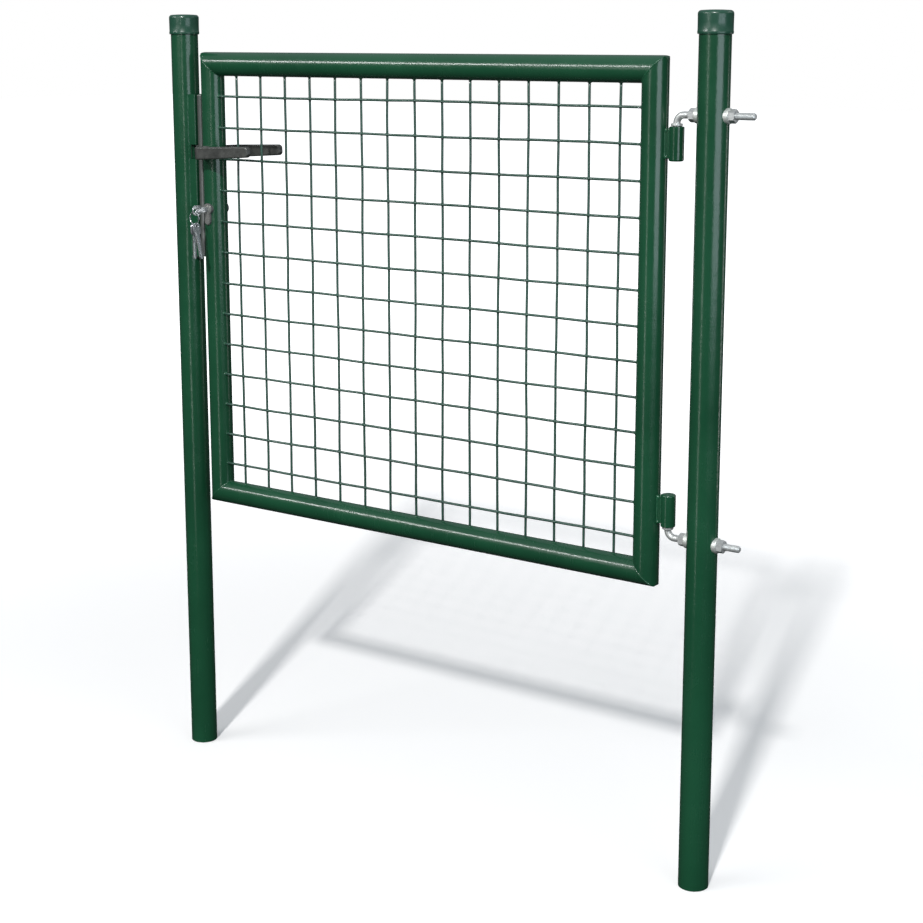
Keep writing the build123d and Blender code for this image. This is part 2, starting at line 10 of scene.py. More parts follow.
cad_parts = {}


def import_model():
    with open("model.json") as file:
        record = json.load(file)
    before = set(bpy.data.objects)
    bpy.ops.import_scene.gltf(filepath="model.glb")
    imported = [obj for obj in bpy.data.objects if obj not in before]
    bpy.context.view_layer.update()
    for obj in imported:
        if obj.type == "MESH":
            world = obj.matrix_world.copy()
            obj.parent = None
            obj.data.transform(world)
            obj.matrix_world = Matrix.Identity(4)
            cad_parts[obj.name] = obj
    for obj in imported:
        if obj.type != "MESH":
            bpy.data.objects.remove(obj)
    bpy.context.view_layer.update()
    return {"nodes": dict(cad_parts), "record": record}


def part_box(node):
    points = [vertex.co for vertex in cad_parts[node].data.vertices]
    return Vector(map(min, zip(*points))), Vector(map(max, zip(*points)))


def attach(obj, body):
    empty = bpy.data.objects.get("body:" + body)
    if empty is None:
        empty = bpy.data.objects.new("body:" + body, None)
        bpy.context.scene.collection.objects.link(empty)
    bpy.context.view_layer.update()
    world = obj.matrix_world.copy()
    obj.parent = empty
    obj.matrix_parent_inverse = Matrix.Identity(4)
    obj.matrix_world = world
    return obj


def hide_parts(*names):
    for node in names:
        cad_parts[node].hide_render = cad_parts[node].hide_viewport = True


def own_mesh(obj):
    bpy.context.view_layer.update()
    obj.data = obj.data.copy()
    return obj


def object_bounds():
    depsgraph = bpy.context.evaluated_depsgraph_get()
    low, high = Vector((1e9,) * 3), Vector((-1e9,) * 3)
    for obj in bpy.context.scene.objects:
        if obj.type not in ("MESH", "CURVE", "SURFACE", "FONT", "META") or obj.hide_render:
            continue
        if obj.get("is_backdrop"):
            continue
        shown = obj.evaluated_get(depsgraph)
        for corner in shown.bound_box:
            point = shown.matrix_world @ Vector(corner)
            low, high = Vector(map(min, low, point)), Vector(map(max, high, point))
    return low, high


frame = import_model()
NODES = frame["nodes"]
sc = bpy.context.scene
rng = random.Random(41)

# ---------------------------------------------------------------- key places, from the frame (metres)
POST0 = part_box("latch_post")
POST1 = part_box("hinge_post")
PX0 = (POST0[0][0] + POST0[1][0]) / 2
PX1 = (POST1[0][0] + POST1[1][0]) / 2
PR = (POST0[1][0] - POST0[0][0]) / 2
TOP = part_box("latch_post_cap")[1][2]
ST0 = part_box("latch_stile")
ST1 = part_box("hinge_stile")
SX0 = (ST0[0][0] + ST0[1][0]) / 2
SX1 = (ST1[0][0] + ST1[1][0]) / 2
TR = (ST0[1][0] - ST0[0][0]) / 2
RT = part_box("top_rail")
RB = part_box("bottom_rail")
RZ1 = (RT[0][2] + RT[1][2]) / 2
RZ0 = (RB[0][2] + RB[1][2]) / 2


# ---------------------------------------------------------------- node helpers
class Tree:
    """A small helper that builds a procedural material."""

    def __init__(self, name):
        self.m = bpy.data.materials.new(name)
        self.m.use_nodes = True
        self.t = self.m.node_tree
        self.t.nodes.clear()
        self.out = self.t.nodes.new("ShaderNodeOutputMaterial")
        self.b = self.t.nodes.new("ShaderNodeBsdfPrincipled")
        self.t.links.new(self.b.outputs[0], self.out.inputs[0])
        self.co = self.t.nodes.new("ShaderNodeTexCoord").outputs["Object"]

    def link(self, a, b):
        self.t.links.new(a, b)

    def mapped(self, scale, rot=(0, 0, 0)):
        n = self.t.nodes.new("ShaderNodeMapping")
        n.inputs["Scale"].default_value = scale
        n.inputs["Rotation"].default_value = rot
        self.link(self.co, n.inputs[0])
        return n.outputs[0]

    def noise(self, scale, detail=3.0, rough=0.55, vec=None, dist=0.0):
        n = self.t.nodes.new("ShaderNodeTexNoise")
        n.inputs["Scale"].default_value = scale
        n.inputs["Detail"].default_value = detail
        n.inputs["Roughness"].default_value = rough
        n.inputs["Distortion"].default_value = dist
        self.link(vec if vec is not None else self.co, n.inputs["Vector"])
        return n.outputs["Fac"]

    def voronoi(self, scale, feature="F1", vec=None, out="Distance"):
        n = self.t.nodes.new("ShaderNodeTexVoronoi")
        n.feature = feature
        n.inputs["Scale"].default_value = scale
        self.link(vec if vec is not None else self.co, n.inputs["Vector"])
        return n.outputs[out]

    def ramp(self, fac, stops, interp="LINEAR"):
        n = self.t.nodes.new("ShaderNodeValToRGB")
        n.color_ramp.interpolation = interp
        e = n.color_ramp.elements
        while len(e) > 1:
            e.remove(e[-1])
        for i, (p, c) in enumerate(stops):
            k = e[0] if i == 0 else e.new(p)
            k.position = p
            k.color = (*c, 1) if len(c) == 3 else c
        self.link(fac, n.inputs[0])
        return n.outputs[0]

    def range(self, fac, a, b, lo=0.0, hi=1.0):
        n = self.t.nodes.new("ShaderNodeMapRange")
        for k, v in (("From Min", lo), ("From Max", hi), ("To Min", a), ("To Max", b)):
            n.inputs[k].default_value = v
        self.link(fac, n.inputs[0])
        return n.outputs[0]

    def math(self, op, a, b=None):
        n = self.t.nodes.new("ShaderNodeMath")
        n.operation = op
        for i, v in enumerate((a, b)):
            if v is None:
                continue
            if isinstance(v, (int, float)):
                n.inputs[i].default_value = v
            else:
                self.link(v, n.inputs[i])
        return n.outputs[0]

    def mix(self, fac, a, b, mode="MIX"):
        n = self.t.nodes.new("ShaderNodeMix")
        n.data_type = "RGBA"
        n.blend_type = mode
        for s, v in ((0, fac), (6, a), (7, b)):
            if isinstance(v, (int, float)):
                n.inputs[s].default_value = v
            elif isinstance(v, tuple):
                n.inputs[s].default_value = (*v, 1)
            else:
                self.link(v, n.inputs[s])
        return n.outputs[2]

    def bump(self, height, strength, dist, prev=None):
        n = self.t.nodes.new("ShaderNodeBump")
        n.inputs["Strength"].default_value = strength
        n.inputs["Distance"].default_value = dist
        self.link(height, n.inputs["Height"])
        if prev is not None:
            self.link(prev, n.inputs["Normal"])
        return n.outputs[0]

    def edge(self, lo=0.52, hi=0.60):
        """1 on convex edges."""
        g = self.t.nodes.new("ShaderNodeNewGeometry")
        return self.range(g.outputs["Pointiness"], 0.0, 1.0, lo, hi)

    def set(self, **k):
        names = {
            "rough": "Roughness",
            "metal": "Metallic",
            "coat": "Coat Weight",
            "coat_rough": "Coat Roughness",
            "spec": "Specular IOR Level",
            "ior": "IOR",
            "aniso": "Anisotropic",
            "color": "Base Color",
            "normal": "Normal",
            "coat_normal": "Coat Normal",
        }
        for key, v in k.items():
            s = self.b.inputs[names[key]]
            if isinstance(v, (int, float)):
                s.default_value = v
            elif isinstance(v, tuple):
                s.default_value = (*v, 1)
            else:
                self.link(v, s)
        return self


def powder_green(name, base=(0.0068, 0.053, 0.0235), light=(0.011, 0.074, 0.034), dark=(0.0042, 0.034, 0.0155), rough=(0.16, 0.30), peel=1.0, dust=0.06, grime=0.5):
    """Glossy powder coat: slow tone drift, orange peel, a painted highlight on convex edges and a trace of dust."""
    t = Tree(name)
    drift = t.noise(3.1, 4, 0.6)
    cloud = t.noise(17.0, 5, 0.62, dist=0.4)
    tone = t.ramp(drift, [(0.30, dark), (0.50, base), (0.72, light)])
    tone = t.mix(t.range(cloud, 0.0, 0.35, 0.35, 0.75), tone, light)
    # vertical streaks that rain leaves on an upright tube
    streak = t.noise(1.0, 4, 0.6, vec=t.mapped((240, 240, 5)))
    tone = t.mix(t.range(streak, 0.0, 0.30, 0.55, 0.80), tone, dark)
    # fine pale specks of dust in the coat
    speck = t.voronoi(900.0)
    keep = t.noise(60.0, 2, 0.5)
    sp = t.math("MULTIPLY", t.range(speck, 1.0, 0.0, 0.0, 0.13), t.range(keep, 0.0, 1.0, 0.56, 0.68))
    tone = t.mix(t.math("MULTIPLY", sp, dust), tone, (0.10, 0.20, 0.14))
    # convex edges are mixed toward the lighter tone: a painted highlight where the edges catch the light
    tone = t.mix(t.math("MULTIPLY", t.edge(0.53, 0.62), 0.25), tone, light)
    peel_h = t.noise(330.0, 2.0, 0.5)
    fine = t.noise(1500.0, 2.0, 0.5)
    wave = t.noise(34.0, 2.0, 0.5)
    n = t.bump(wave, 0.30, 0.0010 * peel)
    n = t.bump(peel_h, 0.60 * peel, 0.00028, n)
    n = t.bump(fine, 0.10, 0.00006, n)
    r = t.range(cloud, rough[0], rough[1], 0.30, 0.72)
    r = t.math("ADD", r, t.math("MULTIPLY", t.range(streak, 0.0, 0.14, 0.5, 0.8), grime))
    t.set(color=tone, rough=r, metal=0.0, spec=0.5, ior=1.48, coat=0.30, coat_rough=0.11, normal=n, coat_normal=n)
    return t.m


def zinc(name, tone=(0.60, 0.615, 0.62), dark=(0.36, 0.37, 0.375), rough=(0.24, 0.44), spangle=420.0, lay=None, tint=0.0, metal=0.62):
    """Zinc-plated or galvanised steel: small crystals, clouding, handling marks."""
    t = Tree(name)
    cells = t.voronoi(spangle, out="Color")
    sep = t.t.nodes.new("ShaderNodeSeparateColor")
    t.link(cells, sep.inputs[0])
    cloud = t.noise(90.0, 5, 0.65)
    c = t.mix(t.range(sep.outputs[0], 0.0, 0.45), tone, dark)
    c = t.mix(t.range(cloud, 0.0, 0.55, 0.45, 0.80), c, dark)
    c = t.mix(t.math("MULTIPLY", t.noise(300.0, 3, 0.6), tint), c, (0.62, 0.60, 0.40))
    c = t.mix(t.math("MULTIPLY", t.edge(0.53, 0.62), 0.4), c, (0.80, 0.81, 0.82))
    r = t.range(cloud, rough[0], rough[1], 0.3, 0.8)
    n = t.bump(cloud, 0.25, 0.00012)
    n = t.bump(t.noise(1400.0, 3, 0.6, vec=t.mapped(lay) if lay else None), 0.22, 0.00005, n)
    t.set(color=c, rough=r, metal=metal, spec=0.6, normal=n)
    return t.m


def lever_coat(name):
    """Satin dark grey coat with the fine tooth of a die casting."""
    t = Tree(name)
    cloud = t.noise(60.0, 5, 0.6)
    c = t.ramp(cloud, [(0.32, (0.038, 0.040, 0.038)), (0.55, (0.060, 0.062, 0.058)), (0.78, (0.086, 0.088, 0.083))])
    rub = t.noise(420.0, 3, 0.6, vec=t.mapped((1.0, 1.0, 6.0)))
    c = t.mix(t.range(rub, 0.0, 0.25, 0.6, 0.85), c, (0.11, 0.11, 0.11))
    c = t.mix(t.math("MULTIPLY", t.edge(0.52, 0.60), 0.5), c, (0.16, 0.165, 0.17))
    r = t.range(cloud, 0.34, 0.50, 0.3, 0.75)
    n = t.bump(t.noise(1100.0, 3, 0.6), 0.32, 0.00009)
    t.set(color=c, rough=r, metal=0.25, spec=0.55, coat=0.15, coat_rough=0.22, normal=n)
    return t.m


def nickel(name, tone=(0.70, 0.69, 0.66), dark=(0.40, 0.39, 0.37), rough=(0.20, 0.34), lay=(1, 1, 1), warm=0.1, metal=0.66):
    t = Tree(name)
    cloud = t.noise(140.0, 4, 0.6)
    scr = t.noise(900.0, 3, 0.65, vec=t.mapped(lay))
    c = t.mix(t.range(cloud, 0.0, 0.45, 0.4, 0.8), tone, dark)
    c = t.mix(t.range(scr, 0.0, warm, 0.5, 0.8), c, (0.50, 0.36, 0.14))
    c = t.mix(t.math("MULTIPLY", t.edge(0.53, 0.62), 0.4), c, (0.86, 0.85, 0.82))
    r = t.range(scr, rough[0], rough[1], 0.3, 0.8)
    n = t.bump(scr, 0.22, 0.00005)
    t.set(color=c, rough=r, metal=metal, spec=0.7, normal=n)
    return t.m


M_GREEN = powder_green("green_powder_coat")
M_GREEN2 = powder_green("green_powder_coat_leaf", peel=0.8, rough=(0.17, 0.30))
M_WELD = powder_green("green_weld_coat", base=(0.012, 0.080, 0.037), light=(0.022, 0.115, 0.058), rough=(0.18, 0.34), peel=1.6)
M_WIRE = powder_green("green_wire_coat", base=(0.026, 0.070, 0.050), light=(0.042, 0.095, 0.072), dark=(0.018, 0.050, 0.037), rough=(0.24, 0.40), peel=0.5, dust=0.2)
M_CAP = powder_green("green_cap_plastic", base=(0.012, 0.060, 0.036), light=(0.019, 0.080, 0.048), dark=(0.009, 0.043, 0.026), rough=(0.26, 0.38), peel=0.4, dust=0.2)
M_ZINC = zinc("galvanised_steel", tone=(0.66, 0.675, 0.665), dark=(0.42, 0.43, 0.425), rough=(0.30, 0.48))
M_ZINC_NUT = zinc("galvanised_nut", tone=(0.52, 0.53, 0.52), dark=(0.30, 0.305, 0.305), rough=(0.32, 0.50))
M_WASHER = zinc("pale_washer_zinc", tone=(0.72, 0.74, 0.70), dark=(0.46, 0.48, 0.45), rough=(0.34, 0.52), spangle=700.0)
M_PLATE = zinc("faceplate_zinc", tone=(0.066, 0.082, 0.066), dark=(0.038, 0.048, 0.040), rough=(0.30, 0.48), spangle=500.0, lay=(1, 1, 0.06))
M_CASE = zinc("lock_case_zinc", tone=(0.50, 0.50, 0.46), dark=(0.30, 0.30, 0.28), rough=(0.32, 0.5), tint=0.4)
M_STEEL = nickel("plain_ground_steel", tone=(0.52, 0.53, 0.54), dark=(0.30, 0.31, 0.32), rough=(0.24, 0.42), warm=0.0)
M_SCREW = zinc("screw_zinc", tone=(0.58, 0.59, 0.59), dark=(0.33, 0.33, 0.34), rough=(0.22, 0.40), spangle=900.0)
M_LEVER = lever_coat("dark_lever_coat")
M_CYL = nickel("cylinder_nickel", tone=(0.085, 0.095, 0.085), dark=(0.045, 0.052, 0.047), warm=0.08)
M_KEY = nickel("key_nickel", tone=(0.60, 0.63, 0.65), dark=(0.36, 0.38, 0.39), rough=(0.15, 0.30), lay=(1, 1, 0.15), warm=0.03, metal=0.82)

SLOT = {
    "green_powder_coat": M_GREEN,
    "green_wire_coat": M_WIRE,
    "green_cap_plastic": M_CAP,
    "galvanised_steel": M_ZINC,
    "cast_washer_zinc": M_WASHER,
    "plain_steel": M_STEEL,
    "screw_zinc": M_SCREW,
    "dark_lever_coat": M_LEVER,
    "cylinder_brass": M_CYL,
    "key_nickel": M_KEY,
}
BY_NODE = {
    "latch_stile": M_GREEN2,
    "hinge_stile": M_GREEN2,
    "top_rail": M_GREEN2,
    "bottom_rail": M_GREEN2,
    "lock_faceplate": M_PLATE,
    "lock_case": M_CASE,
    "lock_case_cover": M_CASE,
    "case_rivets": M_CASE,
    "hinge_nuts": M_ZINC_NUT,
    "cylinder_escutcheons": M_LEVER,
}
slots = {s["node"]: s["material_slot"] for s in frame["record"]["subparts"]}
for name, ob in NODES.items():
    mat = BY_NODE.get(name, SLOT[slots[name]])
    for s in ob.material_slots:
        s.material = mat


# ---------------------------------------------------------------- mesh helpers
def obj(name, verts, faces, mat, body, smooth=True, angle=None):
    me = bpy.data.meshes.new(name)
    me.from_pydata([tuple(v) for v in verts], [], faces)
    me.update()
    me.materials.append(mat)
    if smooth:
        for p in me.polygons:
            p.use_smooth = True
    if angle is not None:
        me.set_sharp_from_angle(angle=math.radians(angle))
    o = bpy.data.objects.new(name, me)
    sc.collection.objects.link(o)
    if body:
        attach(o, body)
    return o


class Build:
    """Collects several closed shapes into one mesh."""

    def __init__(self):
        self.v, self.f = [], []

    def add(self, verts, faces):
        k = len(self.v)
        self.v += [tuple(p) for p in verts]
        self.f += [tuple(i + k for i in f) for f in faces]

    def lathe(self, prof, origin, axis, seg=64):
        """Revolves (r, h) points about an axis through origin; ends at r = 0 close on a point."""
        axis = Vector(axis).normalized()
        u = axis.orthogonal().normalized()
        w = axis.cross(u)
        origin = Vector(origin)
        verts, rings = [], []
        for r, h in prof:
            c = origin + axis * h
            if r < 1e-9:
                rings.append([len(verts)])
                verts.append(c)
            else:
                rings.append(list(range(len(verts), len(verts) + seg)))
                for i in range(seg):
                    a = 2 * math.pi * i / seg
                    verts.append(c + (u * math.cos(a) + w * math.sin(a)) * r)
        faces = []
        for a, b in zip(rings, rings[1:]):
            for i in range(seg):
                j = (i + 1) % seg
                if len(a) == 1 and len(b) == 1:
                    continue
                if len(a) == 1:
                    faces.append((a[0], b[j], b[i]))
                elif len(b) == 1:
                    faces.append((a[i], a[j], b[0]))
                else:
                    faces.append((a[i], a[j], b[j], b[i]))
        self.add(verts, faces)

    def tube(self, pts, radii, seg=16, closed=False, cap=True):
        """A round bar along points, with parallel-transported rings."""
        pts = [Vector(p) for p in pts]
        n = len(pts)
        if isinstance(radii, (int, float)):
            radii = [radii] * n
        tans = []
        for i in range(n):
            a = pts[(i - 1) % n] if (closed or i > 0) else pts[i]
            b = pts[(i + 1) % n] if (closed or i < n - 1) else pts[i]
            tans.append((b - a).normalized())
        u = tans[0].orthogonal().normalized()
        verts, faces = [], []
        for i in range(n):
            if i:
                q = tans[i - 1].rotation_difference(tans[i])
                u = (q @ u).normalized()
            w = tans[i].cross(u)
            for k in range(seg):
                a = 2 * math.pi * k / seg
                verts.append(pts[i] + (u * math.cos(a) + w * math.sin(a)) * radii[i])
        last = n if closed else n - 1
        for i in range(last):
            i2 = (i + 1) % n
            for k in range(seg):
                k2 = (k + 1) % seg
                faces.append((i * seg + k, i * seg + k2, i2 * seg + k2, i2 * seg + k))
        if cap and not closed:
            faces.append(tuple(reversed(range(seg))))
            faces.append(tuple((n - 1) * seg + k for k in range(seg)))
        self.add(verts, faces)

    def blob(self, centre, axes, seg=12, rings=7, lump=0.0, seed=0):
        """An ellipsoid with three axis vectors, slightly lumpy."""
        r = random.Random(seed)
        ph = [r.uniform(0, 6.28) for _ in range(4)]
        a, b, c = (Vector(x) for x in axes)
        centre = Vector(centre)
        verts = [centre - c]
        for j in range(1, rings):
            t = math.pi * j / rings - math.pi / 2
            for i in range(seg):
                p = 2 * math.pi * i / seg
                k = 1 + lump * (math.sin(3 * p + ph[0]) * 0.5 + math.sin(2 * p + 3 * t + ph[1]) * 0.5)
                verts.append(centre + (a * math.cos(p) + b * math.sin(p)) * (math.cos(t) * k) + c * math.sin(t) * (1 + lump * 0.4 * math.sin(2 * p + ph[2])))
        verts.append(centre + c)
        faces = []
        for i in range(seg):
            faces.append((0, 1 + (i + 1) % seg, 1 + i))
        for j in range(rings - 2):
            o1, o2 = 1 + j * seg, 1 + (j + 1) * seg
            for i in range(seg):
                i2 = (i + 1) % seg
                faces.append((o1 + i, o1 + i2, o2 + i2, o2 + i))
        o1 = 1 + (rings - 2) * seg
        for i in range(seg):
            faces.append((o1 + i, o1 + (i + 1) % seg, len(verts) - 1))
        self.add(verts, faces)

    def make(self, name, mat, body, angle=None):
        return obj(name, self.v, self.f, mat, body, True, angle)


# ==== details begin
# ---------------------------------------------------------------- welded mesh
def wobble(t, seed, amp):
    """A drawn wire is never quite straight: a smooth sideways wander, zero at both ends."""
    r = random.Random(seed)
    k = [(r.uniform(0.6, 1.2), r.uniform(0, 6.28)), (r.uniform(2.0, 3.2), r.uniform(0, 6.28)), (r.uniform(5.0, 8.0), r.uniform(0, 6.28))]
    w = sum(a * math.sin(2 * math.pi * f * t + p) for a, (f, p) in zip((0.55, 0.3, 0.15), k))
    return amp * w * min(1.0, 8 * t, 8 * (1 - t))


VLO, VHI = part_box("vertical_wires")
HLO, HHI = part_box("horizontal_wires")
WR = (VHI[1] - VLO[1]) / 2
VY, HY = (VLO[1] + VHI[1]) / 2, (HLO[1] + HHI[1]) / 2
N_V, N_H = 15, 13
VX = [VLO[0] + WR + (VHI[0] - VLO[0] - 2 * WR) * i / (N_V - 1) for i in range(N_V)]
HZ = [HLO[2] + WR + (HHI[2] - HLO[2] - 2 * WR) * j / (N_H - 1) for j in range(N_H)]
VDX = [lambda z, i=i: wobble((z - RZ0) / (RZ1 - RZ0), 100 + i, 0.0011) for i in range(N_V)]
HDZ = [lambda x, j=j: wobble((x - SX0) / (SX1 - SX0), 300 + j, 0.0011) for j in range(N_H)]

wires = Build()
for i, x in enumerate(VX):
    q = math.sqrt(TR * TR - VY * VY) - 0.0012
    z0, z1 = RZ0 + q, RZ1 - q
    pts = [(x + VDX[i](z0 + (z1 - z0) * k / 72), VY + wobble(k / 72, 500 + i, 0.0004), z0 + (z1 - z0) * k / 72) for k in range(73)]
    wires.tube(pts, [WR * (0.985 + 0.015 * math.sin(9 * k + i)) for k in range(73)], 14)
wires.make("mesh_wires_upright", M_WIRE, "leaf")
wires_h = Build()
SINK = 0.00035                 # the cross wires are pressed into each other at every weld
for j, z in enumerate(HZ):
    q = math.sqrt(TR * TR - HY * HY) - 0.0012
    x0, x1 = SX0 + q, SX1 - q
    n = 14 * 6
    pts, rad = [], []
    for k in range(n + 1):
        x = x0 + (x1 - x0) * k / n
        near = min(abs(x - (vx + VDX[i](z))) for i, vx in enumerate(VX))
        pts.append((x, HY + SINK * math.exp(-(near / 0.006) ** 2) + wobble(k / n, 700 + j, 0.0003), z + HDZ[j](x)))
        rad.append(WR * (0.985 + 0.015 * math.sin(7 * k + j)))
    wires_h.tube(pts, rad, 14)
wires_h.make("mesh_wires_level", M_WIRE, "leaf")
nug = Build()
for i, vx in enumerate(VX):
    for j, hz in enumerate(HZ):
        x, z = vx + VDX[i](hz), hz + HDZ[j](vx)
        r = random.Random(i * 31 + j)
        s = r.uniform(0.85, 1.15)
        d = r.uniform(-0.0003, 0.0003)
        nug.blob((x + d, (VY + HY) / 2 + 0.0001, z - d), ((0.0025 * s, 0, 0.0004 * r.uniform(-1, 1)), (0, 0.0013, 0), (0.0003 * r.uniform(-1, 1), 0, 0.0024 * s)), 12, 7, 0.10, i * 17 + j)
nug.make("mesh_weld_nuggets", M_WIRE, "leaf")
ends = Build()
for j, hz in enumerate(HZ):
    for s, sx in ((1, SX0), (-1, SX1)):
        q = math.sqrt(TR * TR - HY * HY)
        x = sx + s * q
        z = hz + HDZ[j](x)
        r = random.Random(900 + j * 2 + s)
        k = r.uniform(0.9, 1.15)
        nrm = Vector((s * q, HY, 0)).normalized()
        tan = Vector((-nrm.y, nrm.x, 0))
        ends.blob((x - s * 0.0002, HY, z), (nrm * 0.0012 * k, tan * 0.0032 * k, Vector((0, 0, 0.0031 * k))), 14, 8, 0.12, 40 + j)
for i, vx in enumerate(VX):
    for s, rz in ((1, RZ0), (-1, RZ1)):
        q = math.sqrt(TR * TR - VY * VY)
        z = rz + s * q
        x = vx + VDX[i](z)
        r = random.Random(1500 + i * 2 + s)
        k = r.uniform(0.9, 1.15)
        ends.blob((x, VY, z - s * 0.0002), (Vector((0.0031 * k, 0, 0)), Vector((0, 0.0032 * k, 0)), Vector((0, 0, 0.0012 * k))), 14, 8, 0.12, 80 + i)
ends_o = ends.make("mesh_end_welds", M_WELD, "leaf")
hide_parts("vertical_wires")
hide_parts("horizontal_wires")


# ---------------------------------------------------------------- mitre welds of the leaf
def bead(b, pts, r0, seed, pitch=0.0026, seg=10, ripple=0.16, ease=6):
    """A weld run: a rounded bead with the ripple of each puddle."""
    r = random.Random(seed)
    P = [Vector(p) for p in pts]
    L = [0.0]
    for p, q in zip(P, P[1:]):
        L.append(L[-1] + (q - p).length)
    n = max(8, int(L[-1] / (pitch / 4)))
    out, rad = [], []
    k = 0
    a, c = r.uniform(0, 6), r.uniform(0, 6)
    for i in range(n + 1):
        d = L[-1] * i / n
        while k < len(L) - 2 and L[k + 1] < d:
            k += 1
        t = (d - L[k]) / max(1e-9, L[k + 1] - L[k])
        out.append(P[k].lerp(P[k + 1], t))
        w = 1 + ripple * (abs(math.sin(math.pi * d / pitch)) - 0.6) + 0.10 * math.sin(d * 310 + a) + 0.07 * math.sin(d * 900 + c)
        e = min(1.0, 0.30 + i / ease, 0.30 + (n - i) / ease)
        rad.append(r0 * w * e)
    b.tube(out, rad, seg)


mit = Build()
for cx, sx in ((SX0, -1), (SX1, 1)):
    for cz, sz in ((RZ0, -1), (RZ1, 1)):
        t0 = math.radians(33)
        pts = []
        for k in range(97):
            th = t0 + (2 * math.pi - 2 * t0) * k / 96
            pts.append((cx + sx * (TR - 0.0004) * math.cos(th), (TR - 0.0004) * math.sin(th), cz + sz * (TR - 0.0004) * math.cos(th)))
        bead(mit, pts, 0.00105, int(cx * 1000 + cz * 77), 0.0030, ease=14)
        # the two ends of the run are heaped a little, near the ground outer corner
        for s in (-1, 1):
            th = math.radians(46)
            c = Vector((cx + sx * (TR - 0.0006) * math.cos(th), s * (TR - 0.0006) * math.sin(th), cz + sz * (TR - 0.0006) * math.cos(th)))
            u = Vector((sx, 0, sz)).normalized()
            nrm = Vector((0, s, 0))
            mit.blob(c, (u * 0.0021, Vector((sz, 0, -sx)).normalized() * 0.0015, nrm * 0.0012), 14, 8, 0.14, int(cz * 100) + s)
mit.make("mitre_weld_beads", M_WELD, "leaf")

# ---------------------------------------------------------------- hinge barrel welds
bw = Build()
for node in ("upper_hinge_barrel", "lower_hinge_barrel"):
    lo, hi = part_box(node)
    za, zb = lo[2] + 0.004, hi[2] - 0.004
    yw = 0.0045
    for s in (-1, 1):
        xs = SX1 + math.sqrt((TR + 0.0002) ** 2 - yw * yw)
        bead(bw, [(xs, s * (yw + 0.0002), za + (zb - za) * k / 20) for k in range(21)], 0.0011, int(za * 999) + s, 0.0028)
        # tack welds at both ends, heaped over the web's corners
        for zc, q in ((za, -1), (zb, 1)):
            bw.blob((xs + 0.0004, s * (yw - 0.0004), zc - q * 0.0016), ((0.0030, s * 0.0006, 0), (0, 0.0019, 0), (0, 0, 0.0031)), 14, 9, 0.16, int(zc * 333) + s)
        xb = lo[0] + (hi[0] - lo[0]) - 2 * 0.0105 + 0.0012
        bead(bw, [(xb, s * (yw + 0.0001), za + (zb - za) * k / 20) for k in range(21)], 0.0008, int(zb * 999) + s, 0.0028)
bw.make("hinge_barrel_welds", M_WELD, "leaf")

# ---------------------------------------------------------------- strike welds on the latch post
SLO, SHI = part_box("strike_channel")
sw = Build()
hy = 0.0140
for s in (-1, 1):
    xs = math.sqrt((PR + 0.0002) ** 2 - hy * hy)
    for c0 in (0.0, 0.30, 0.62, 0.90):
        a = SLO[2] + (SHI[2] - SLO[2]) * c0 + (0.002 if c0 == 0 else 0)
        bead(sw, [(xs, s * (hy + 0.0001), a + 0.024 * k / 12) for k in range(13)], 0.0012, int(a * 555) + s, 0.0027)
sw.make("strike_weld_beads", M_WELD, "posts")


# ---------------------------------------------------------------- J-bolts with a rolled thread
def thread(b, x0, x1, z, r, pitch=0.0015, depth=0.00078, seg=36, chamfer=0.0018):
    """A right-hand thread on a rod along X, run out at its inner end and pointed at its outer end."""
    per = 8
    n = int((x1 - x0) / pitch * per)
    verts, faces = [], []
    for k in range(n + 1):
        x = x0 + (x1 - x0) * k / n
        for i in range(seg):
            a = 2 * math.pi * i / seg
            f = (x / pitch - i / seg) % 1.0
            v = abs(2 * f - 1)
            prof = min(1.0, max(0.0, (v - 0.12) / 0.76))
            run = min(1.0, max(0.0, (x - x0) / (2 * pitch)))
            rr = r - depth * (1 - prof) * run
            tip = (x1 - x) / chamfer
            if tip < 1:
                rr = min(rr, r - (1 - tip) * 0.0015)
            verts.append((x, rr * math.cos(a), z + rr * math.sin(a)))
    for k in range(n):
        for i in range(seg):
            j = (i + 1) % seg
            faces.append((k * seg + i, k * seg + j, (k + 1) * seg + j, (k + 1) * seg + i))
    faces.append(tuple(reversed(range(seg))))
    faces.append(tuple(n * seg + i for i in range(seg)))
    b.add(verts, faces)


for node in ("upper_hinge_bolt", "lower_hinge_bolt"):
    lo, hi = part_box(node)
    r = (hi[1] - lo[1]) / 2
    up = node.startswith("upper")
    leg = hi[2] - r if up else lo[2] + r
    pin = lo[2] if up else hi[2]
    bx = lo[0] + r
    s = 1 if up else -1            # the pin runs towards the leg along s
    R = 0.011
    jb = Build()
    pts, rad = [], []
    for k in range(7):
        pts.append((bx, 0, pin + s * (0.00001 + 0.0012 * k / 6)))
        rad.append(r - 0.0011 * (1 - k / 6) ** 1.3)
    end = leg - s * R
    for k in range(1, 13):
        pts.append((bx, 0, pin + s * 0.0012 + (end - pin - s * 0.0012) * k / 12))
        rad.append(r)
    for k in range(1, 29):
        a = math.pi / 2 * k / 28
        pts.append((bx + R * (1 - math.cos(a)), 0, end + s * R * math.sin(a)))
        # the cold bend flattens the rod a hair
        rad.append(r * (1 - 0.012 * math.sin(2 * a)))
    x_thr = bx + R + 0.0035
    pts.append((x_thr, 0, leg))
    rad.append(r)
    jb.tube(pts, rad, 36)
    thread(jb, x_thr - 0.0002, hi[0], leg, r)
    o = jb.make(node.replace("_hinge_bolt", "_j_bolt_threaded"), M_ZINC, "posts", angle=50)
    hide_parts(node)

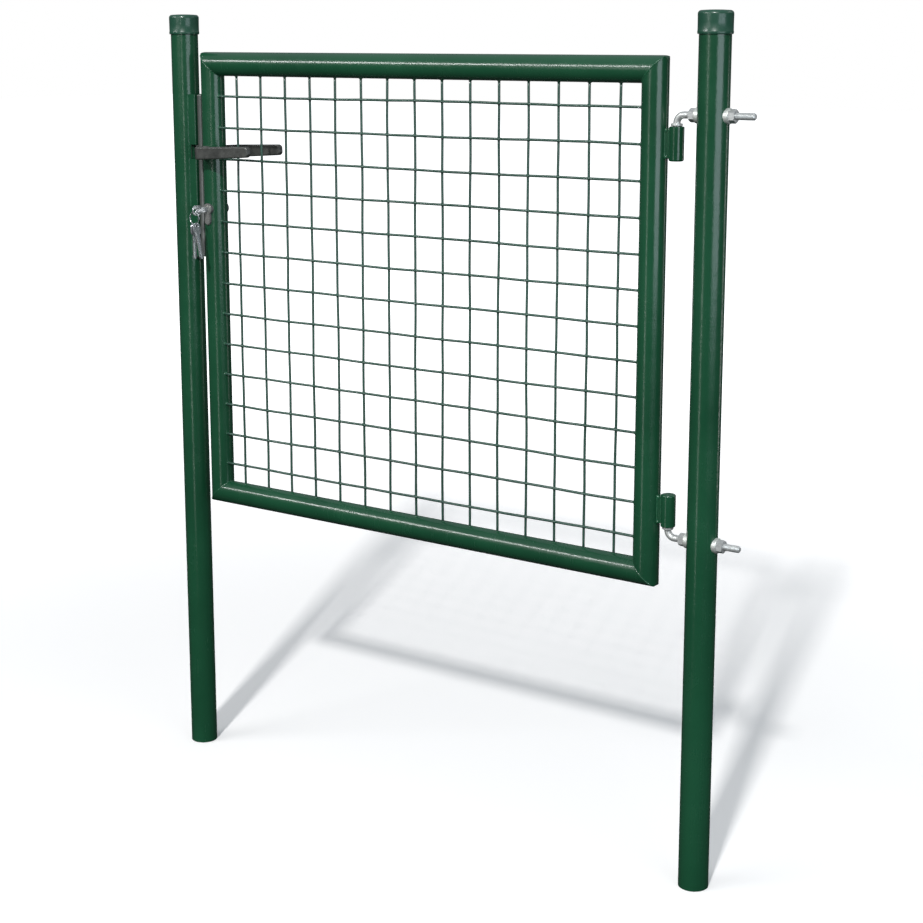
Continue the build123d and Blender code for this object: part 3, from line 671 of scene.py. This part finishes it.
# ---------------------------------------------------------------- moulded caps
for node, px in (("latch_post_cap", PX0), ("hinge_post_cap", PX1)):
    lo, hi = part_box(node)
    R = (hi[0] - lo[0]) / 2
    H = hi[2] - lo[2]
    prof = [(PR + 0.0001, 0.0004), (PR + 0.0005, 0.0), (R - 0.0012, 0.0), (R - 0.0004, 0.0004), (R - 0.0001, 0.0014)]
    prof += [(R, 0.0024), (R, 0.0040), (R - 0.0003, 0.0046), (R - 0.0003, H * 0.5), (R - 0.00015, H - 0.0056)]
    for k in range(1, 11):
        a = math.pi / 2 * k / 10
        prof.append((R - 0.00015 - 0.0048 * (1 - math.cos(a)), H - 0.0056 + 0.0050 * math.sin(a)))
    for k in range(1, 9):
        t = k / 8
        rr = (R - 0.005) * (1 - t)
        prof.append((rr if k < 8 else 0.0, H - 0.0006 + 0.0006 * math.sin(math.pi / 2 * min(1, t * 1.4)) - (0.0004 if rr < 0.003 else 0.0)))
    cp = Build()
    cp.lathe(prof, (px, 0, lo[2]), (0, 0, 1), 96)
    # the underside closes onto the post's wall
    o = cp.make(node + "_moulded", M_CAP, "posts", angle=45)
    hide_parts(node)


# ---------------------------------------------------------------- keys: cast bow, milled blade
def curve_plate(outlines, thick, bevel):
    """A flat plate with holes and softly rounded edges, in its own X-Y plane."""
    cu = bpy.data.curves.new("tmp", "CURVE")
    cu.dimensions = "2D"
    cu.fill_mode = "BOTH"
    cu.extrude = thick / 2 - bevel
    cu.bevel_depth = bevel
    cu.bevel_resolution = 3
    cu.offset = -bevel
    for pts in outlines:
        sp = cu.splines.new("POLY")
        sp.points.add(len(pts) - 1)
        for q, (x, y) in zip(sp.points, pts):
            q.co = (x, y, 0, 1)
        sp.use_cyclic_u = True
    o = bpy.data.objects.new("tmp", cu)
    sc.collection.objects.link(o)
    bpy.context.view_layer.update()
    me = bpy.data.meshes.new_from_object(o.evaluated_get(bpy.context.evaluated_depsgraph_get()))
    bpy.data.objects.remove(o)
    bpy.data.curves.remove(cu)
    bm = bmesh.new()
    bm.from_mesh(me)
    bmesh.ops.remove_doubles(bm, verts=bm.verts, dist=2e-6)
    bmesh.ops.recalc_face_normals(bm, faces=bm.faces)
    bm.to_mesh(me)
    bm.free()
    return me


K_BLADE, K_NECK, K_BOWL, K_BOWW, K_BOWR, K_HOLE, K_HU, K_T = 0.008, 0.039, 0.020, 0.0165, 0.0068, 0.003, 0.016, 0.0022


def key_outline():
    """The bow to the left of x = 0, the blade to the right with its cuts."""
    pts = []
    h = K_BLADE / 2
    top = [(0.0, h)]
    for u, d in ((14.5, 1.0), (18.5, 2.0), (22.5, 1.2), (26.5, 2.4), (30.5, 1.6)):
        top += [((u - 1.6) / 1000, h), ((u - 0.4) / 1000, h - d / 1000), ((u + 0.4) / 1000, h - d / 1000), ((u + 1.6) / 1000, h)]
    top += [(K_NECK - 0.003, h), (K_NECK - 0.0004, 0.0010), (K_NECK, 0.0), (K_NECK - 0.0004, -0.0010), (K_NECK - 0.003, -h), (0.0, -h)]
    pts += top
    w, r = K_BOWW / 2, K_BOWR

    def arc(cx, cy, a0, a1, n=9):
        return [(cx + r * math.cos(a0 + (a1 - a0) * k / n), cy + r * math.sin(a0 + (a1 - a0) * k / n)) for k in range(n + 1)]

    pts += arc(-r, -w + r, 0.0, -math.pi / 2)[1:]
    pts += arc(-K_BOWL + r, -w + r, -math.pi / 2, -math.pi)
    pts += arc(-K_BOWL + r, w - r, math.pi, math.pi / 2)
    pts += arc(-r, w - r, math.pi / 2, 0.0)[:-1]
    return pts


def circle_pts(cx, cy, r, n=32):
    return [(cx + r * math.cos(2 * math.pi * k / n), cy - r * math.sin(2 * math.pi * k / n)) for k in range(n)]


def key_mesh():
    b = Build()
    me = curve_plate([key_outline(), circle_pts(-K_HU, 0, K_HOLE)], K_T, 0.00028)
    b.add([v.co for v in me.vertices], [tuple(p.vertices) for p in me.polygons])
    bpy.data.meshes.remove(me)
    return b


def groove_cut(me_obj, half_w, depth):
    """Mills one long groove into each face of the blade."""
    me = bpy.data.meshes.new("tmpcut")
    bm = bmesh.new()
    for s in (-1, 1):
        z_in, z_out = s * (K_T / 2 - depth), s * (K_T / 2 + 0.001)
        y0 = -0.0016 if s > 0 else 0.0006
        cs = []
        for x in (-0.0012, K_NECK + 0.002):
            for y in (y0 - half_w, y0 + half_w):
                for z in (z_in, z_out):
                    yy = y + (0.0003 if z == z_out and y > y0 else -0.0003 if z == z_out else 0)
                    cs.append(bm.verts.new((x, yy, z)))
        for f in ((0, 1, 3, 2), (4, 6, 7, 5), (0, 4, 5, 1), (2, 3, 7, 6), (0, 2, 6, 4), (1, 5, 7, 3)):
            bm.faces.new([cs[i] for i in f])
    bmesh.ops.recalc_face_normals(bm, faces=bm.faces)
    bm.to_mesh(me)
    bm.free()
    co = bpy.data.objects.new("tmpcut", me)
    sc.collection.objects.link(co)
    m = me_obj.modifiers.new("cut", "BOOLEAN")
    m.operation = "DIFFERENCE"
    m.solver = "EXACT"
    m.object = co
    bpy.context.view_layer.update()
    out = bpy.data.meshes.new_from_object(me_obj.evaluated_get(bpy.context.evaluated_depsgraph_get()))
    me_obj.modifiers.clear()
    bpy.data.objects.remove(co)
    bpy.data.meshes.remove(me)
    return out


kb = key_mesh()
tmp = obj("tmp_key", kb.v, kb.f, M_KEY, None, False)
cut = groove_cut(tmp, 0.0007, 0.0005)
KV = [v.co.copy() for v in cut.vertices]
KF = [tuple(p.vertices) for p in cut.polygons]
if len(KV) < 100:
    KV, KF = [Vector(v) for v in kb.v], kb.f
bpy.data.meshes.remove(cut)
tm = tmp.data
bpy.data.objects.remove(tmp)
bpy.data.meshes.remove(tm)


def place_key(name, node, body, origin, ux, uy):
    """ux: direction of the blade, uy: the side with the cuts; the plate's normal is their cross product."""
    ux, uy = Vector(ux).normalized(), Vector(uy).normalized()
    uz = ux.cross(uy)
    o = obj(name, [Vector(origin) + ux * v.x + uy * v.y + uz * v.z for v in KV], KF, M_KEY, body, True, 32)
    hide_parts(node)
    return o


KLO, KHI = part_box("key_in_lock")
place_key("key_in_lock_milled", "key_in_lock", "key", ((KLO[0] + KHI[0]) / 2, KLO[1] + K_BOWL, (KLO[2] + KHI[2]) / 2), (0, 1, 0), (0, 0, 1))
ALO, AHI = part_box("spare_key_a")
place_key("spare_key_a_milled", "spare_key_a", "spare_key_a", ((ALO[0] + AHI[0]) / 2, (ALO[1] + AHI[1]) / 2, AHI[2] - K_BOWL), (0, 0, -1), (0, 1, 0))
PIVOT = {j["name"]: Vector(j["pos_m"]) for j in frame["record"]["behaviour"]["joints"] if "pos_m" in j}
LEAN = math.radians(11.0)
ub = Vector((math.sin(LEAN), 0, -math.cos(LEAN)))
place_key("spare_key_b_milled", "spare_key_b", "spare_key_b", PIVOT["spare_key_b_swing"] + ub * 0.01785, ub, (0, 1, 0))

RLO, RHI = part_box("key_ring")
rc = [(a + b) / 2 for a, b in zip(RLO, RHI)]
rwire = (RHI[1] - RLO[1]) / 2
rrad = (RHI[0] - RLO[0]) / 2 - rwire
ring = Build()
pts = []
N = 192
for k in range(N + 1):
    t = k / N * (2 - 0.04)
    a = 2 * math.pi * t - 0.9
    side = min(1.0, max(0.0, (t - 0.90) / 0.16))
    side = side * side * (3 - 2 * side)
    y = rc[1] + (2 * side - 1) * rwire * 0.48
    pts.append((rc[0] + rrad * math.cos(a), y, rc[2] + rrad * math.sin(a)))
ring.tube(pts, rwire * 0.485, 12)
o = ring.make("split_key_ring", M_KEY, "key_ring", angle=60)
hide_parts("key_ring")

# ---------------------------------------------------------------- latch spring: a coil with close-lying ends
LLO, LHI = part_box("latch_spring")
BLO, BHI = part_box("latch_bolt")
sr = (LHI[1] - LLO[1]) / 2
wr = 0.0005
cz = (LLO[2] + LHI[2]) / 2
xa, xb = LLO[0] + wr, LHI[0] - wr
pts = []
TURNS = 9.5
for k in range(361):
    t = k / 360
    # the end coils lie close together, like ground ends
    w = t + 0.055 * math.sin(2 * math.pi * t)
    e = min(1.0, max(0.0, (w - 0.06) / 0.88))
    x = xa + (xb - xa) * (0.035 * w + 0.965 * e)
    a = 2 * math.pi * TURNS * t
    pts.append((x, (sr - wr) * math.cos(a), cz + (sr - wr) * math.sin(a)))
sp = Build()
sp.tube(pts, wr, 10)
o = sp.make("latch_spring_coil", M_STEEL, "leaf", angle=60)
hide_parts("latch_spring")
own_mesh(o)

# ==== details end
# ---------------------------------------------------------------- camera, light, floor
FLOOR_GLOW = 0.12


def look(o, forward, roll=0.0):
    o.rotation_mode = "QUATERNION"
    o.rotation_quaternion = Vector(forward).to_track_quat("-Z", "Y") @ Matrix.Rotation(roll, 3, "Z").to_quaternion()


cam = bpy.data.cameras.new("camera")
cam_o = bpy.data.objects.new("camera", cam)
sc.collection.objects.link(cam_o)
sc.camera = cam_o
CAM_YAW, CAM_PITCH = math.radians(35.06), math.radians(10.93)
cam_o.location = (2.0758, -2.1692, 1.2153)
look(cam_o, (-math.sin(CAM_YAW) * math.cos(CAM_PITCH), math.cos(CAM_YAW) * math.cos(CAM_PITCH), -math.sin(CAM_PITCH)))
cam.sensor_width = 36.0
cam.lens = 69.51
cam.shift_y = -0.088
cam.clip_start, cam.clip_end = 0.02, 60.0


def area(name, loc, target, size, power, color=(1, 1, 1), shape="RECTANGLE", spread=180.0):
    l = bpy.data.lights.new(name, "AREA")
    l.shape = shape
    l.size, l.size_y = size
    l.energy = power
    l.color = color
    l.spread = math.radians(spread)
    o = bpy.data.objects.new(name, l)
    sc.collection.objects.link(o)
    o.location = loc
    look(o, Vector(target) - Vector(loc))
    o.visible_camera = False
    return o


# a white sweep behind the object, and a dim studio for everything that lights or mirrors in it
world = bpy.data.worlds.new("studio")
sc.world = world
world.use_nodes = True
wn = world.node_tree
bg = wn.nodes["Background"]
bg.inputs[0].default_value = (1.0, 1.0, 1.0, 1)
bg.inputs[1].default_value = 1.0
dim = wn.nodes.new("ShaderNodeBackground")
wco = wn.nodes.new("ShaderNodeTexCoord")
wsep = wn.nodes.new("ShaderNodeSeparateXYZ")
wrp = wn.nodes.new("ShaderNodeValToRGB")
wrp.color_ramp.elements[0].position = 0.30
wrp.color_ramp.elements[0].color = (0.032, 0.037, 0.037, 1)
wrp.color_ramp.elements[1].position = 1.0
wrp.color_ramp.elements[1].color = (0.42, 0.46, 0.50, 1)
e = wrp.color_ramp.elements.new(0.52)
e.color = (0.046, 0.053, 0.056, 1)
wma = wn.nodes.new("ShaderNodeMath")
wma.operation = "MULTIPLY_ADD"
wma.inputs[1].default_value = 0.5
wma.inputs[2].default_value = 0.5
wn.links.new(wco.outputs["Generated"], wsep.inputs[0])
wn.links.new(wsep.outputs[2], wma.inputs[0])
wn.links.new(wma.outputs[0], wrp.inputs[0])
wn.links.new(wrp.outputs[0], dim.inputs[0])
dim.inputs[1].default_value = 1.0
wlp = wn.nodes.new("ShaderNodeLightPath")
wmx = wn.nodes.new("ShaderNodeMixShader")
wn.links.new(wlp.outputs["Is Camera Ray"], wmx.inputs[0])
wn.links.new(dim.outputs[0], wmx.inputs[1])
wn.links.new(bg.outputs[0], wmx.inputs[2])
wn.links.new(wmx.outputs[0], wn.nodes["World Output"].inputs[0])

area("key", (3.45, -8.04, 7.28), (0.5, 0.2, 0.4), (0.60, 0.60), 1010)
area("fill_front", (-0.6, -4.2, 1.9), (0.5, 0, 0.7), (2.2, 1.2), 14)
area("window_left", (-2.38, -3.53, 3.26), (0.47, 0, 1.0), (2.6, 0.40), 74)
area("window_right", (3.3, -1.0, 1.02), (0.8, 0, 0.95), (2.1, 1.05), 22, (0.80, 0.90, 1.0))
area("slit_front", (0.46, -1.5, 0.66), (0.46, 0, 0.66), (0.10, 1.3), 2.0, (0.95, 1.0, 0.96))
BACK = [
    area("back_soft", (-1.2, 4.6, 2.9), (0.5, 0, 0.6), (4.4, 3.0), 190),
    area("back_strip", (2.3, 1.9, 0.56), (0.5, 0, 0.6), (0.35, 1.1), 2.4),
    area("back_slit", (-2.1, 1.7, 0.5), (0.3, 0, 0.6), (0.12, 0.95), 1.2),
    area("back_high", (3.9, 2.5, 3.5), (0.6, 0, 0.9), (2.8, 0.45), 17),
]
# the big soft lamp lights the back but isn't mirrored in the gloss, or a rail seen along it turns white
BACK[0].visible_glossy = False

fm = bpy.data.materials.new("floor_white")
fm.use_nodes = True
ft = fm.node_tree
fb = ft.nodes["Principled BSDF"]
fb.inputs["Roughness"].default_value = 0.7
fb.inputs["Specular IOR Level"].default_value = 0.1
fnz = ft.nodes.new("ShaderNodeTexNoise")
fnz.inputs["Scale"].default_value = 3.0
frp = ft.nodes.new("ShaderNodeValToRGB")
frp.color_ramp.elements[0].color = (0.885, 0.870, 0.860, 1)
frp.color_ramp.elements[1].color = (0.905, 0.890, 0.880, 1)
ft.links.new(fnz.outputs[0], frp.inputs[0])
ft.links.new(frp.outputs[0], fb.inputs["Base Color"])
# the floor glows a little, more with distance, so that it runs into the white sweep without a line
fco = ft.nodes.new("ShaderNodeTexCoord")
fof = ft.nodes.new("ShaderNodeVectorMath")
fof.operation = "SUBTRACT"
fof.inputs[1].default_value = (-0.3, -0.3, 0)
ft.links.new(fco.outputs["Object"], fof.inputs[0])
fln = ft.nodes.new("ShaderNodeVectorMath")
fln.operation = "LENGTH"
ft.links.new(fof.outputs[0], fln.inputs[0])
fmr = ft.nodes.new("ShaderNodeMapRange")
fmr.interpolation_type = "SMOOTHSTEP"
for k, v in (("From Min", 0.6), ("From Max", 4.4), ("To Min", FLOOR_GLOW), ("To Max", 1.02)):
    fmr.inputs[k].default_value = v
ft.links.new(fln.outputs["Value"], fmr.inputs[0])
fb.inputs["Emission Color"].default_value = (1, 1, 1, 1)
ft.links.new(fmr.outputs[0], fb.inputs["Emission Strength"])
me = bpy.data.meshes.new("floor")
S = 26.0
me.from_pydata([(-S, -S, 0), (S, -S, 0), (S, S, 0), (-S, S, 0)], [], [(0, 1, 2, 3)])
me.materials.append(fm)
floor = bpy.data.objects.new("floor", me)
floor.location = (0.5, 0, -0.0005)
sc.collection.objects.link(floor)
floor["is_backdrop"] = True
floor.visible_glossy = False
floor.visible_diffuse = False
# the lamps behind the gate light its back and leave the front shadows on the floor alone
skip = bpy.data.collections.new("back_lamps_skip")
skip.objects.link(floor)
skip.collection_objects[0].light_linking.link_state = "EXCLUDE"
for o in BACK:
    o.light_linking.receiver_collection = skip

sc.view_settings.view_transform = "Standard"
sc.view_settings.look = "None"

# ---------------------------------------------------------------- sizes
lo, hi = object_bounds()
